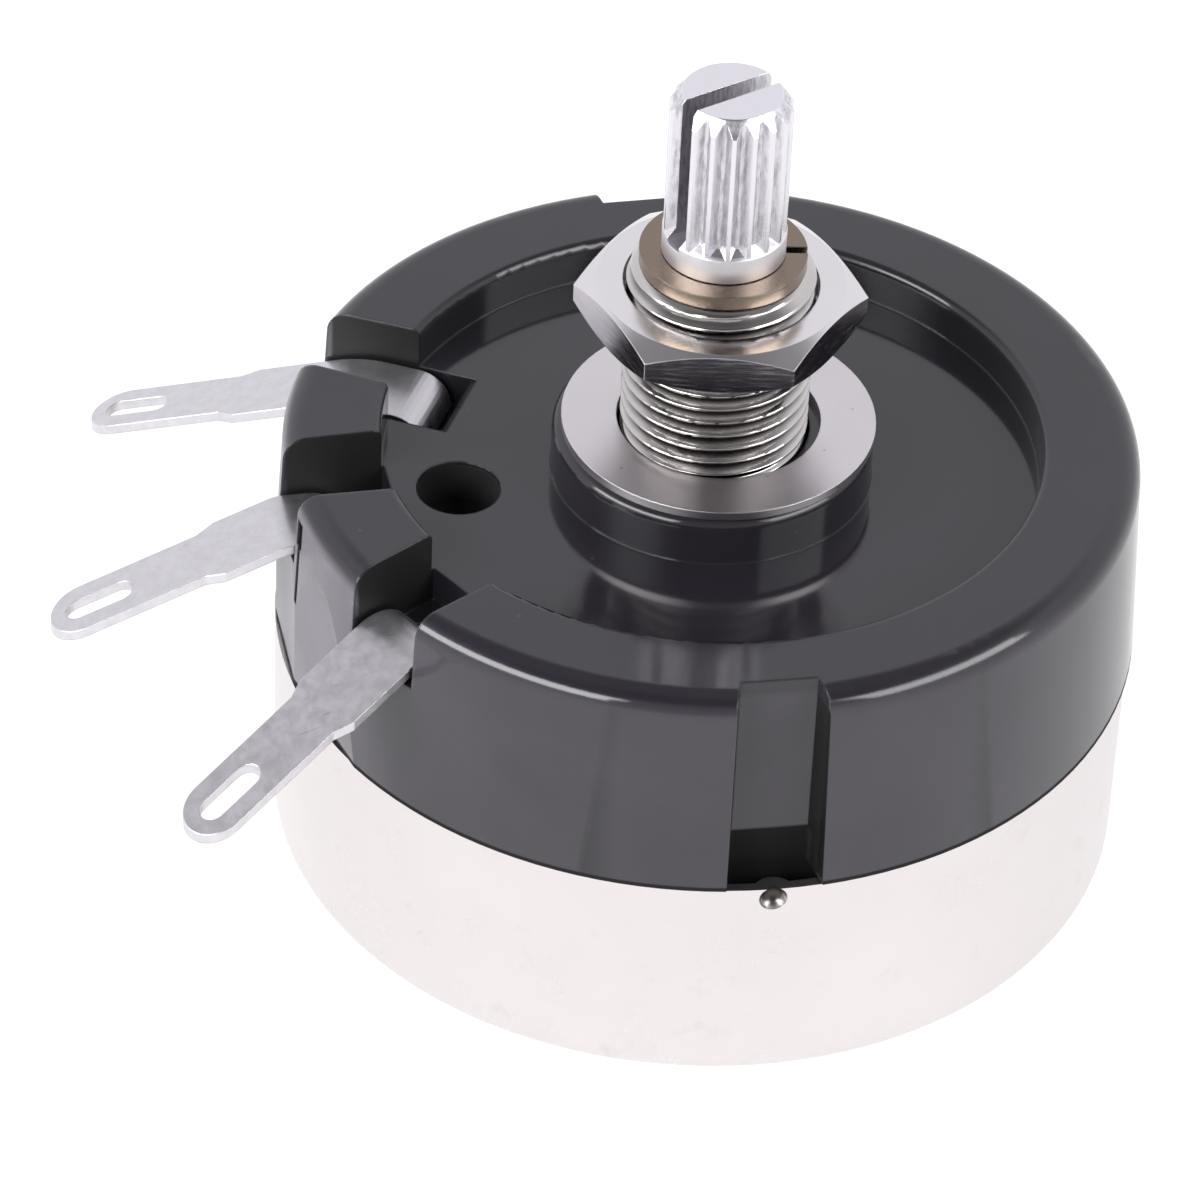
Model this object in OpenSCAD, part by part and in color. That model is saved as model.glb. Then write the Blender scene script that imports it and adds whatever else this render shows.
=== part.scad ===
// Rotary potentiometer, single turn, wire wound, with a can at the back and three solder lugs.
// Frame: Z = 0 is the outside of the can's floor, +Z runs up the shaft, the wiper lug points along -X.
// Lengths are in millimetres and angles in degrees, measured about the shaft from +X towards +Y.

/* [Moulded body] */
// Outside diameter of the moulded body at its foot
body_d = 43.1; // [42:0.1:50]
// Height of the body that shows above the can
body_h = 11.15; // [9.5:0.05:13]
// How far the body's side leans in from its foot to its top
body_lean = 0.5; // [0:0.05:0.7]
// Rounding of the body's outer top edge
body_edge_r = 1.2; // [0.4:0.1:1.8]
// Width of the rim between the dish and the foot of the body's side
rim_w = 5.35; // [4.6:0.05:5.5]
// Depth of the dish below the rim
dish_depth = 2.2; // [1.2:0.1:2.4]
// Rounding of the dish's inner edge
dish_edge_r = 0.4; // [0.1:0.05:0.6]
// Thickness of the dish's floor
floor_t = 3; // [2.8:0.1:3.4]
// Diameter of the boss round the bush
boss_d = 15.8; // [14.6:0.2:17]
// Height of the boss above the dish's floor
boss_h = 2.55; // [1.6:0.05:3.4]
// Rounding of the boss's top edge
boss_edge_r = 0.5; // [0.2:0.05:0.8]
// Thickness of the skirt that goes down inside the can
skirt_t = 2.5; // [2.2:0.05:2.6]
// Length of that skirt
skirt_h = 7.5; // [5:0.25:9]

/* [Locating hole] */
// Diameter of the blind locating hole in the dish
locate_d = 4.15; // [3:0.05:4.6]
// Distance of the locating hole's middle from the dish's edge
locate_inset = 3.6; // [2.6:0.1:4.2]
// Depth of the locating hole
locate_depth = 2.4; // [1.5:0.1:2.5]

/* [Can] */
// How far the can's side stands in from the foot of the body's
can_step = 0.2; // [0.1:0.05:0.4]
// Outside height of the can
can_h = 11.95; // [10.5:0.05:14]
// Thickness of the can's sheet
can_t = 0.5; // [0.4:0.05:0.7]
// Outside radius of the can's bottom corner
can_corner_r = 1; // [0.8:0.1:1.6]
// Gap of the seam between the can's rim and the body
seam_gap = 0.12; // [0.05:0.01:0.3]

/* [Crimp slots] */
// Angle of the front crimp slot about the shaft
slot_angle = -93; // [-100:0.5:-80]
// Angle of the back crimp slot, nearly opposite
back_slot_angle = 89; // [80:0.5:100]
// Depth of the slot from the foot of the body's side
slot_depth = 2.2; // [1.9:0.05:2.4]
// Width of the slot at its back wall
slot_inner_w = 3.7; // [3:0.1:4.4]
// Width of the slot at the body's outside
slot_outer_w = 4.7; // [4.4:0.1:5.4]
// Depth of the punched dent that locks the can's rim into the slot
crimp_depth = 0.55; // [0.3:0.05:0.7]
// Radius of the ball-shaped dent
crimp_r = 0.7; // [0.6:0.05:1]
// Distance of the dent's middle below the can's rim
crimp_drop = 0.6; // [0.3:0.05:1]

/* [Terminal notches] */
// Angle between neighbouring lugs
lug_pitch = 30; // [28:0.5:32]
// Width of a notch at the dish
notch_inner_w = 4.6; // [4.5:0.1:5.2]
// Width of a notch at the body's outside
notch_outer_w = 4.4; // [4.3:0.05:4.8]
// Depth of the notches below the rim
notch_depth = 4.1; // [3.8:0.1:4.3]
// Depth of the blocks' flat faces, in from the foot of the body's side
flat_inset = 0.42; // [0.2:0.02:0.8]
// How far the long lug's pocket reaches into the dish
pocket_reach = 3.2; // [2.8:0.1:3.8]
// Width of the upright groove beside the wiper lug
groove_w = 0.35; // [0.2:0.05:0.5]
// Depth of that groove from the flat face
groove_in = 0.4; // [0.2:0.05:0.6]
// Depth of the groove's lower end below the rim
groove_drop = 6.1; // [5:0.1:8]
// Height of the groove's wider mouth
mouth_h = 1.5; // [1:0.1:2]
// Depth of the mouth's upper end below the rim
mouth_drop = 1.2; // [1:0.1:1.6]

/* [Solder lugs] */
// Thickness of the lug strip
lug_t = 0.5; // [0.4:0.05:0.6]
// Width of a lug at its root
lug_root_w = 4; // [3.6:0.1:4.1]
// Width of a lug at its blade
lug_blade_w = 3.2; // [2.6:0.1:3.4]
// Width of the leg that goes down through the body's floor
lug_leg_w = 2.4; // [2:0.1:2.8]
// How far a lug's tip reaches out past the foot of the body's side
lug_reach = 11.15; // [9:0.05:13]
// How far the lug's shoulders stand out past the foot of the body's side
shoulder_reach = 2.85; // [2:0.05:4.5]
// Slope of the blades below the horizontal
lug_slope = 23; // [21:0.5:25]
// Depth of the blades' top below the rim, at the shoulders
shoulder_drop = 4.5; // [4.3:0.1:4.9]
// Depth of the front lug's crest below the rim
front_crest_drop = 2.8; // [2.6:0.1:2.9]
// Depth of the wiper lug's crest below the rim
wiper_crest_drop = 3.2; // [2.8:0.1:3.4]
// Depth of the back lug's crest below the rim
back_crest_drop = 2.2; // [2:0.1:2.6]
// Inside radius of the short lugs' bends
short_bend_r = 1.7; // [1.2:0.1:1.8]
// Inside radius of the bend at the long lug's root
long_bend_r = 1.2; // [0.8:0.1:1.4]
// Inside radius of the long lug's gentle crest
long_crest_r = 7; // [4:0.5:8]
// How far the long lug's leg stands inside the dish's edge
long_leg_reach = 2; // [1.8:0.1:2.6]
// Width of the oblong eyelet
eyelet_w = 1.3; // [1:0.1:1.6]
// Length of the oblong eyelet
eyelet_l = 3.3; // [2.4:0.1:4]
// Distance from the eyelet's outer end to the tip
eyelet_margin = 0.75; // [0.6:0.05:1.2]

/* [Bush, washer and nut] */
// Outside diameter of the bush's thread
thread_d = 9.4; // [9:0.1:9.6]
// Height of the bush's end above the boss
bush_h = 9.75; // [8.5:0.05:12]
// Rounding of the bush's end
crown_r = 0.9; // [0.5:0.1:1.2]
// Diameter of the flange inside the body
flange_d = 13; // [11:0.5:13.6]
// Thickness of that flange
flange_t = 1.2; // [0.8:0.1:1.4]
// Outside diameter of the flat washer
washer_d = 15.4; // [14:0.1:16]
// Hole of the flat washer
washer_hole_d = 10; // [9.9:0.1:10.6]
// Thickness of the flat washer
washer_t = 0.45; // [0.3:0.05:0.8]
// How far the washer lies off the shaft's axis
washer_shift = 0.25; // [0:0.05:0.25]
// Width across the nut's flats
nut_af = 12.3; // [12:0.1:13.4]
// Thickness of the nut
nut_t = 2.2; // [1.8:0.1:2.8]
// Height of the nut's lower face above the washer
nut_lift = 5.95; // [3:0.05:6.1]
// How far the chamfer reaches in past the middle of each flat
nut_chamfer = 0.15; // [0.05:0.05:0.4]
// Turn of the nut's corners about the shaft
nut_angle = -13; // [-30:1:30]

/* [Shaft] */
// Diameter of the shaft
shaft_d = 6; // [5.9:0.05:6.1]
// Radial clearance between the shaft and the bush
shaft_clearance = 0.03; // [0.02:0.01:0.06]
// Height of the shaft's end above the bush's end
shaft_out = 9.85; // [9:0.05:16]
// Length of the splines
spline_l = 7.3; // [5:0.1:7.6]
// Number of splines
spline_count = 18; // [12:1:24]
// Diameter over the splines
spline_d = 5.92; // [5.8:0.02:6]
// Depth of the grooves between the splines
spline_depth = 0.42; // [0.3:0.02:0.5]
// Width of the chamfer at the shaft's end
shaft_chamfer = 0.6; // [0.4:0.1:0.8]
// Angle of that chamfer below the end face
chamfer_angle = 52; // [40:1:60]
// Width of the screwdriver slot
driver_w = 1; // [0.8:0.1:1.2]
// Depth of the screwdriver slot
driver_depth = 8; // [5:0.1:8.2]
// Direction of the screwdriver slot about the shaft
driver_angle = 21; // [0:1:60]

/* [Retaining clip] */
// Outside diameter of the split clip
clip_d = 8.1; // [7.4:0.1:8.6]
// Thickness of the clip
clip_t = 0.7; // [0.5:0.05:0.9]
// Width of the clip's gap
clip_gap = 0.5; // [0.3:0.1:1]
// Direction of the clip's gap about the shaft
clip_angle = -11; // [-40:1:40]
// Depth of the clip's groove in the shaft
groove_depth = 0.5; // [0.3:0.05:0.7]

/* [Rotor] */
// Diameter of the rotor hub
hub_d = 18; // [17.8:0.1:18.6]
// Height of the rotor hub
hub_h = 3.7; // [3.2:0.1:4.4]
// Thickness of the washer between the flange and the hub
thrust_t = 0.5; // [0.3:0.05:0.7]
// Thickness of the wiper arm and of the contact spring
spring_t = 0.4; // [0.3:0.05:0.6]
// Width of the wiper arm
arm_w = 4.4; // [3.6:0.1:5]
// Diameter of the contact brush
brush_d = 2.2; // [1.6:0.1:2.6]
// Turning angle from the middle to either stop
half_turn = 150; // [140:1:155]
// How far the hub's stop tab reaches out past the hub
tab_reach = 3.2; // [2.4:0.1:3.4]
// Distance of the brush's middle above the wiper arm's underside
brush_lift = 1.6; // [1.4:0.1:2]

/* [Resistance element] */
// Gap between the winding and the cavity's wall
winding_gap = 0.7; // [0.6:0.05:0.8]
// Thickness of the wound former across its two faces
winding_t = 1.25; // [1.1:0.05:1.4]
// Thickness of the wire layer
wire_t = 0.2; // [0.1:0.05:0.3]
// Height of the winding
winding_h = 12.4; // [10:0.2:12.6]
// Angle that the winding covers
winding_arc = 294; // [290:1:296]
// Angle that each end clamp covers
clamp_arc = 6; // [5:0.5:8]

/* [Hidden] */
$fn = 96;

// Small gaps: running faces, pieces that seat, and the overlap of a cut past its face
run_gap = 0.05;
seat_gap = 0.02;
over = 1;

// Diameters and radii that follow from the body's
can_d = body_d - 2 * can_step;
dish_d = body_d - 2 * rim_w;
top_r = body_d / 2 - body_lean;
fit_r = can_d / 2 - can_t - 0.1;
cavity_d = 2 * (fit_r - skirt_t);
winding_out_d = cavity_d - 2 * winding_gap;
winding_in_d = winding_out_d - 2 * winding_t;
slot_r = body_d / 2 - slot_depth;
flat_r = body_d / 2 - flat_inset;
locate_r = dish_d / 2 - locate_inset;
pocket_r = dish_d / 2 - pocket_reach;
short_leg_r = winding_out_d / 2 + run_gap;
long_leg_r = dish_d / 2 - long_leg_reach;
lug_tip_r = body_d / 2 + lug_reach;
lug_shoulder_r = body_d / 2 + shoulder_reach;

// Heights that stack up from the can's floor
body_z = can_h + seam_gap;
rim_z = body_z + body_h;
dish_z = rim_z - dish_depth;
roof_z = dish_z - floor_t;
boss_z = dish_z + boss_h;
notch_z = rim_z - notch_depth;
skirt_z = body_z - skirt_h;
washer_z = boss_z + washer_t;
nut_z = washer_z + nut_lift;
bush_z = boss_z + bush_h;
shaft_z = bush_z + shaft_out;
clip_z = bush_z + run_gap;
spline_z = shaft_z - spline_l;
flange_z = roof_z - flange_t;

// Heights of the rotor, down from the bush's flange
hub_top = flange_z - thrust_t - 2 * run_gap;
hub_z = hub_top - hub_h;
arm_z = hub_z - spring_t;

// Angles of the slots and of the end lugs, and sizes of the collector and of the stops
slot_angles = [slot_angle, back_slot_angle];
back_angle = 180 - lug_pitch;
front_angle = 180 + lug_pitch;
collector_t = 0.5;
collector_z = roof_z - collector_t;
stop_half = 11.9;
post_arc = 9;
shoulder_l = 0.9;

// Rivets of the rotor on the wiper arm's centre line, clear of the bush's flange, and the arm's turned-up end
brush_nose = 1.3;
rivet_r = 0.6;
rivet_head_r = 0.9;
rivet_x = flange_d / 2 + 0.3 + rivet_head_r;
rivet_places = [-rivet_x, rivet_x];
tab_r = winding_in_d / 2 - brush_nose;
bend_steps = 10;

// A square corner less its rounding, for cutting a rounded edge from a profile: the corner is at x, y
// and the material lies towards sx, sy.
module corner_cut(x, y, r, sx, sy) {
    translate([x, y])
        scale([sx, sy])
            difference() {
                translate([-over, -over]) square(r + over);
                translate([r, r]) circle(r);
            }
}

// A flat ring
module ring(outer_d, inner_d, h) {
    difference() {
        cylinder(d = outer_d, h = h);
        translate([0, 0, -over]) cylinder(d = inner_d, h = h + 2 * over);
    }
}

// A stretch of a ring with a rectangular section, centred on the angle a
module ring_arc(r_in, r_out, z, h, arc, a) {
    rotate([0, 0, a - arc / 2])
        rotate_extrude(angle = arc)
            translate([r_in, z]) square([r_out - r_in, h]);
}

// Half section of the turned outside of the moulding, with its dish, boss and cavity. The side leans in from
// the foot as far as the rounding of the top edge.
module body_section() {
    difference() {
        union() {
            difference() {
                polygon([
                    [0, body_z],
                    [body_d / 2, body_z],
                    [top_r, rim_z - body_edge_r],
                    [top_r, rim_z],
                    [0, rim_z]]);
                translate([0, dish_z]) square([dish_d / 2, dish_depth + over]);
            }
            translate([0, dish_z - over]) square([boss_d / 2, boss_h + over]);
        }
        corner_cut(top_r, rim_z, body_edge_r, -1, -1);
        corner_cut(dish_d / 2, rim_z, dish_edge_r, 1, -1);
        corner_cut(boss_d / 2, boss_z, boss_edge_r, -1, -1);
        translate([0, body_z - over]) square([cavity_d / 2, roof_z - body_z + over]);
    }
}

// Skirt that goes down inside the can, cut back to the crimp slots so that the dented sheet has room
module skirt() {
    gap_w = slot_outer_w + 0.4;
    difference() {
        rotate_extrude()
            translate([cavity_d / 2, skirt_z]) square([fit_r - cavity_d / 2, skirt_h + over]);
        for (a = slot_angles)
            rotate([0, 0, a])
                translate([slot_r, -gap_w / 2, skirt_z - over])
                    cube([slot_depth + over, gap_w, skirt_h + 3 * over]);
    }
}

// Plan of a notch, from the dish out past the rim
module notch_plan(inner_r) {
    polygon([
        [inner_r, -notch_inner_w / 2],
        [dish_d / 2, -notch_inner_w / 2],
        [body_d / 2, -notch_outer_w / 2],
        [body_d / 2 + over, -notch_outer_w / 2],
        [body_d / 2 + over, notch_outer_w / 2],
        [body_d / 2, notch_outer_w / 2],
        [dish_d / 2, notch_inner_w / 2],
        [inner_r, notch_inner_w / 2]]);
}

// One terminal notch with the slit in its floor for the lug's leg, as long as the bend is there
module notch_cut(angle, inner_r, leg_r, root_r, crest_drop) {
    dip = max(0, notch_z - (rim_z - crest_drop - lug_t - root_r));
    slit = lug_t + root_r - sqrt(pow(root_r, 2) - pow(dip, 2)) + 0.2;
    rotate([0, 0, angle]) {
        translate([0, 0, notch_z])
            linear_extrude(notch_depth + over) notch_plan(inner_r);
        translate([leg_r - 0.1, -lug_leg_w / 2 - 0.1, roof_z - over])
            cube([slit, lug_leg_w + 0.2, notch_z - roof_z + 2 * over]);
    }
}

// Flat outer faces of the two blocks and of the wall under the wiper lug, cut in one piece
module block_flats() {
    corner = flat_r * [-1, tan(lug_pitch / 4)];
    far = flat_r * [-cos(lug_pitch / 2), sin(lug_pitch / 2)]
        + body_d / 5 * [sin(lug_pitch / 2), cos(lug_pitch / 2)];
    translate([0, 0, body_z - over / 2])
        linear_extrude(body_h + over)
            polygon([
                corner,
                far,
                2 * far,
                2 * [far[0], -far[1]],
                [far[0], -far[1]],
                [corner[0], -corner[1]]]);
}

// Side slot that takes the can's dented rim, its walls flaring outwards
module crimp_slot(angle) {
    reach = body_d / 2 + over;
    slope = (slot_outer_w - slot_inner_w) / 2 / (body_d / 2 - slot_r);
    flare = slot_inner_w / 2 + slope * (reach - slot_r);
    rotate([0, 0, angle])
        translate([0, 0, body_z - over / 2])
            linear_extrude(body_h + over)
                polygon([
                    [slot_r, -slot_inner_w / 2],
                    [reach, -flare],
                    [reach, flare],
                    [slot_r, slot_inner_w / 2]]);
}

// Upright groove in the corner of the flats beside the wiper lug, with its wider mouth under the rim
module side_groove() {
    mouth_w = 2 * groove_w;
    top_z = rim_z - mouth_drop;
    rotate([0, 0, 180 + lug_pitch / 4])
        translate([flat_r - groove_in, 0, 0]) {
            translate([0, -groove_w / 2, rim_z - groove_drop])
                cube([groove_in + over, groove_w, groove_drop - mouth_drop]);
            translate([0, -mouth_w / 2, top_z - mouth_h])
                cube([groove_in + over, mouth_w, mouth_h]);
        }
}

// Black moulded body
module front_body() {
    short_end = sqrt(pow(dish_d / 2, 2) - pow(notch_inner_w / 2, 2)) - 0.15;
    post_in = hub_d / 2 + 1;
    post_out = hub_d / 2 + tab_reach + 0.2;
    post_z = hub_z + 0.6;
    color([0.16, 0.16, 0.17])
        difference() {
            union() {
                rotate_extrude() body_section();
                skirt();
                // Two posts under the floor stop the rotor's tab
                for (s = [-1, 1])
                    ring_arc(post_in, post_out, post_z, roof_z - post_z + over / 2,
                        post_arc, 180 + s * (180 - half_turn - stop_half - post_arc / 2));
            }
            translate([0, 0, roof_z - over]) cylinder(d = thread_d + 2 * seat_gap, h = bush_z);
            translate([-locate_r, 0, dish_z - locate_depth])
                cylinder(d = locate_d, h = locate_depth + over);
            notch_cut(back_angle, pocket_r, long_leg_r, long_bend_r, back_crest_drop);
            notch_cut(180, short_end, short_leg_r, short_bend_r, wiper_crest_drop);
            notch_cut(front_angle, short_end, short_leg_r, short_bend_r, front_crest_drop);
            block_flats();
            side_groove();
            for (a = slot_angles) crimp_slot(a);
        }
}

// Half section of the drawn cup, before its rim is trimmed
module can_section() {
    difference() {
        square([can_d / 2, can_h + over]);
        corner_cut(can_d / 2, 0, can_corner_r, -1, 1);
        difference() {
            translate([-over, can_t]) square([can_d / 2 - can_t + over, can_h + over]);
            corner_cut(can_d / 2 - can_t, can_t, can_corner_r - can_t, -1, 1);
        }
    }
}

// Nickel-plated can, its trimmed rim punched into the crimp slots
module rear_can() {
    dent = [can_d / 2 + crimp_r - crimp_depth, 0, can_h - crimp_drop];
    color([0.88, 0.86, 0.86])
        difference() {
            union() {
                rotate_extrude() can_section();
                // Inner side of each dent, as far out as the middle of the wall
                for (a = slot_angles)
                    rotate([0, 0, a])
                        intersection() {
                            translate(dent) sphere(crimp_r + can_t);
                            translate([0, 0, can_h / 2]) cylinder(r = (can_d - can_t) / 2, h = can_h);
                        }
            }
            translate([0, 0, can_h]) cylinder(d = can_d + over, h = can_h);
            for (a = slot_angles)
                rotate([0, 0, a]) translate(dent) sphere(crimp_r);
        }
}

// Threaded bush with its rounded end and inner flange, its thread drawn at its outside diameter
module threaded_bush() {
    color([0.80, 0.79, 0.76])
        rotate_extrude()
            difference() {
                union() {
                    translate([0, roof_z]) square([thread_d / 2, bush_z - roof_z]);
                    translate([0, flange_z]) square([flange_d / 2, flange_t]);
                }
                translate([-over, flange_z - over])
                    square([shaft_d / 2 + shaft_clearance + over, bush_z - flange_z + 2 * over]);
                corner_cut(thread_d / 2, bush_z, crown_r, -1, -1);
            }
}

// Loose flat washer, lying off-centre on the boss
module flat_washer() {
    color([0.82, 0.81, 0.82])
        rotate([0, 0, nut_angle])
            translate([washer_shift, 0, boss_z]) ring(washer_d, washer_hole_d, washer_t);
}

// Thin hexagon nut, chamfered on both faces
module hex_nut() {
    corner_r = nut_af / 2 / cos(30);
    face_r = nut_af / 2 - nut_chamfer;
    chamfer_h = (corner_r + over - face_r) * tan(30);
    color([0.78, 0.77, 0.78])
        rotate([0, 0, nut_angle])
            translate([0, 0, nut_z])
                difference() {
                    intersection() {
                        linear_extrude(nut_t)
                            polygon([for (i = [0:5]) corner_r * [cos(60 * i), sin(60 * i)]]);
                        rotate_extrude()
                            polygon([
                                [0, 0],
                                [face_r, 0],
                                [corner_r + over, chamfer_h],
                                [corner_r + over, nut_t - chamfer_h],
                                [face_r, nut_t],
                                [0, nut_t]]);
                    }
                    translate([0, 0, -over]) cylinder(d = thread_d + 2 * run_gap, h = nut_t + 2 * over);
                }
}

// Cross-section of the splined end: narrow crests between wide shallow grooves
module spline_plan() {
    step = 360 / spline_count;
    crest = spline_d / 2;
    root = crest - spline_depth;
    polygon([for (i = [0:spline_count - 1], p = [[-0.4, root], [-0.1, crest], [0.1, crest], [0.4, root]])
        p[1] * [cos((i + p[0]) * step), sin((i + p[0]) * step)]]);
}

// Shaft with its splined and slotted end, clip groove and the spigot that holds the rotor
module shaft() {
    root_r = spline_d / 2 - spline_depth;
    neck_h = shaft_d / 2 - root_r;
    end_r = spline_d / 2 - shaft_chamfer;
    spigot_r = shaft_d / 2 - 0.6;
    tail_z = arm_z - 0.6;
    color([0.84, 0.84, 0.86])
        difference() {
            union() {
                rotate_extrude()
                    polygon([
                        [0, tail_z],
                        [spigot_r + 0.5, tail_z],
                        [spigot_r + 0.7, arm_z - run_gap],
                        [spigot_r, arm_z - run_gap],
                        [spigot_r, hub_top],
                        [shaft_d / 2, hub_top],
                        [shaft_d / 2, clip_z - run_gap],
                        [shaft_d / 2 - groove_depth, clip_z - run_gap],
                        [shaft_d / 2 - groove_depth, clip_z + clip_t + run_gap],
                        [shaft_d / 2, clip_z + clip_t + run_gap],
                        [shaft_d / 2, spline_z - neck_h],
                        [root_r - 0.3, spline_z + 0.3],
                        [0, spline_z + 0.3]]);
                intersection() {
                    translate([0, 0, spline_z - neck_h])
                        linear_extrude(shaft_z - spline_z + neck_h) spline_plan();
                    rotate_extrude()
                        polygon([
                            [0, spline_z - neck_h],
                            [shaft_d, spline_z - neck_h],
                            [shaft_d, shaft_z - (shaft_d - end_r) * tan(chamfer_angle)],
                            [end_r, shaft_z],
                            [0, shaft_z]]);
                }
            }
            rotate([0, 0, driver_angle])
                translate([-shaft_d, -driver_w / 2, shaft_z - driver_depth])
                    cube([2 * shaft_d, driver_w, driver_depth + over]);
        }
}

// Split clip in the shaft's groove
module retaining_clip() {
    color([0.66, 0.58, 0.45])
        rotate([0, 0, clip_angle])
            translate([0, 0, clip_z])
                difference() {
                    ring(clip_d, shaft_d - 2 * groove_depth + 2 * seat_gap, clip_t);
                    translate([0, -clip_gap / 2, -over]) cube([clip_d, clip_gap, clip_t + 2 * over]);
                }
}

// Points on an arc about u, z from the angle a0 to a1
function arc_points(u, z, r, a0, a1) =
    [for (i = [0:bend_steps]) let(a = a0 + (a1 - a0) * i / bend_steps) [u + r * cos(a), z + r * sin(a)]];

// Plan of a lug: full width at the root, slanted shoulders, then the blade with its round tip and eyelet
module lug_plan(leg_r) {
    tip_x = lug_tip_r - lug_blade_w / 2;
    eye_out = lug_tip_r - eyelet_margin - eyelet_w / 2;
    eye_in = eye_out - eyelet_l + eyelet_w;
    difference() {
        union() {
            polygon([
                [leg_r, -lug_root_w / 2],
                [lug_shoulder_r, -lug_root_w / 2],
                [lug_shoulder_r + shoulder_l, -lug_blade_w / 2],
                [tip_x, -lug_blade_w / 2],
                [tip_x, lug_blade_w / 2],
                [lug_shoulder_r + shoulder_l, lug_blade_w / 2],
                [lug_shoulder_r, lug_root_w / 2],
                [leg_r, lug_root_w / 2]]);
            translate([tip_x, 0]) circle(d = lug_blade_w);
        }
        translate([eye_in, -eyelet_w / 2]) square([eye_out - eye_in, eyelet_w]);
        translate([eye_in, 0]) circle(d = eyelet_w);
        translate([eye_out, 0]) circle(d = eyelet_w);
    }
}

// Side view of a lug: leg, root bend, flat run, crest bend and sloping blade, all one strip. The blades lie
// on one cone about the shaft, so the run follows from the crest's height.
module lug_profile(leg_r, root_r, crest_r, crest_drop, leg_z) {
    crest_z = rim_z - crest_drop;
    bend_u = leg_r + lug_t + root_r;
    bend_z = crest_z - lug_t - root_r;
    meet_u = lug_shoulder_r - (shoulder_drop - crest_drop) / tan(lug_slope);
    crest_u = max(bend_u + 0.01, meet_u - (crest_r + lug_t) * tan(lug_slope / 2));
    crest_c = crest_z - lug_t - crest_r;
    turn = 90 - lug_slope;
    fall = [cos(lug_slope), -sin(lug_slope)];
    blade_l = (lug_tip_r + over - crest_u) / cos(lug_slope);
    outer = arc_points(crest_u, crest_c, crest_r + lug_t, 90, turn);
    inner = arc_points(crest_u, crest_c, crest_r, turn, 90);
    polygon(concat(
        [[leg_r, leg_z]],
        arc_points(bend_u, bend_z, root_r + lug_t, 180, 90),
        outer,
        [outer[bend_steps] + blade_l * fall, inner[0] + blade_l * fall],
        inner,
        arc_points(bend_u, bend_z, root_r, 90, 180),
        [[leg_r + lug_t, leg_z]]));
}

// A solder lug: its side view drawn out to the strip's width, then cut to its plan, with a narrow leg
module solder_lug(angle, leg_r, root_r, crest_r, crest_drop, leg_z) {
    rotate([0, 0, angle])
        difference() {
            intersection() {
                translate([0, lug_root_w / 2, 0])
                    rotate([90, 0, 0])
                        linear_extrude(lug_root_w) lug_profile(leg_r, root_r, crest_r, crest_drop, leg_z);
                linear_extrude(rim_z) lug_plan(leg_r - over);
            }
            for (s = [0, 1])
                mirror([0, s, 0])
                    translate([leg_r - over, lug_leg_w / 2, leg_z - over])
                        cube([lug_t + root_r + over, lug_root_w, notch_z + 0.15 - leg_z + over]);
        }
}

// End lug at the back: it reaches further in, and its foot runs out under the floor to its clamp
module end_lug_back() {
    leg_z = roof_z - lug_t - 0.2;
    color([0.80, 0.79, 0.80]) {
        solder_lug(back_angle, long_leg_r, long_bend_r, long_crest_r, back_crest_drop, leg_z);
        rotate([0, 0, back_angle])
            translate([long_leg_r, -lug_leg_w / 2, leg_z])
                cube([short_leg_r - long_leg_r - 0.2, lug_leg_w, lug_t]);
    }
}

// Short lugs: the wiper's in the middle, and the end lug at the front
module wiper_lug() {
    color([0.80, 0.79, 0.80])
        solder_lug(180, short_leg_r, short_bend_r, short_bend_r, wiper_crest_drop, collector_z);
}

module end_lug_front() {
    color([0.80, 0.79, 0.80])
        solder_lug(front_angle, short_leg_r, short_bend_r, short_bend_r, front_crest_drop, roof_z - 3);
}

// Washer that runs between the bush's flange and the hub
module thrust_washer() {
    color([0.72, 0.62, 0.42])
        translate([0, 0, hub_top + run_gap]) ring(flange_d - 2, shaft_d + 0.2, thrust_t);
}

// Insulating hub on the shaft's spigot, with the tab that meets the stop posts
module rotor_hub() {
    color([0.35, 0.22, 0.15])
        difference() {
            union() {
                translate([0, 0, hub_z]) cylinder(d = hub_d, h = hub_h);
                ring_arc(hub_d / 2 - 0.5, hub_d / 2 + tab_reach, hub_z + 0.8, hub_h - 1.2, 2 * stop_half, 0);
            }
            translate([0, 0, hub_z - over])
                cylinder(r = shaft_d / 2 - 0.6 + seat_gap, h = hub_h + 2 * over);
            for (x = rivet_places)
                translate([x, 0, hub_z - over]) cylinder(r = rivet_r + seat_gap, h = hub_h + 2 * over);
        }
}

// Spring arm under the hub, with its end turned up to carry the brush
module wiper_arm() {
    color([0.74, 0.60, 0.32])
        difference() {
            union() {
                translate([-hub_d / 2 + 0.4, -arm_w / 2, arm_z])
                    cube([tab_r + hub_d / 2 - 0.4, arm_w, spring_t]);
                translate([tab_r - spring_t, -arm_w / 2, arm_z])
                    cube([spring_t, arm_w, brush_lift + brush_d / 2 + 0.3]);
                translate([0, 0, arm_z]) cylinder(r = shaft_d / 2 + 1.4, h = spring_t);
            }
            translate([0, 0, arm_z - over])
                cylinder(r = shaft_d / 2 - 0.6 + seat_gap, h = spring_t + 2 * over);
            for (x = rivet_places)
                translate([x, 0, arm_z - over]) cylinder(r = rivet_r + seat_gap, h = spring_t + 2 * over);
            translate([tab_r - over, 0, arm_z + brush_lift])
                rotate([0, 90, 0]) cylinder(d = brush_d / 2 + 2 * seat_gap, h = 2 * over);
        }
}

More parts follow.
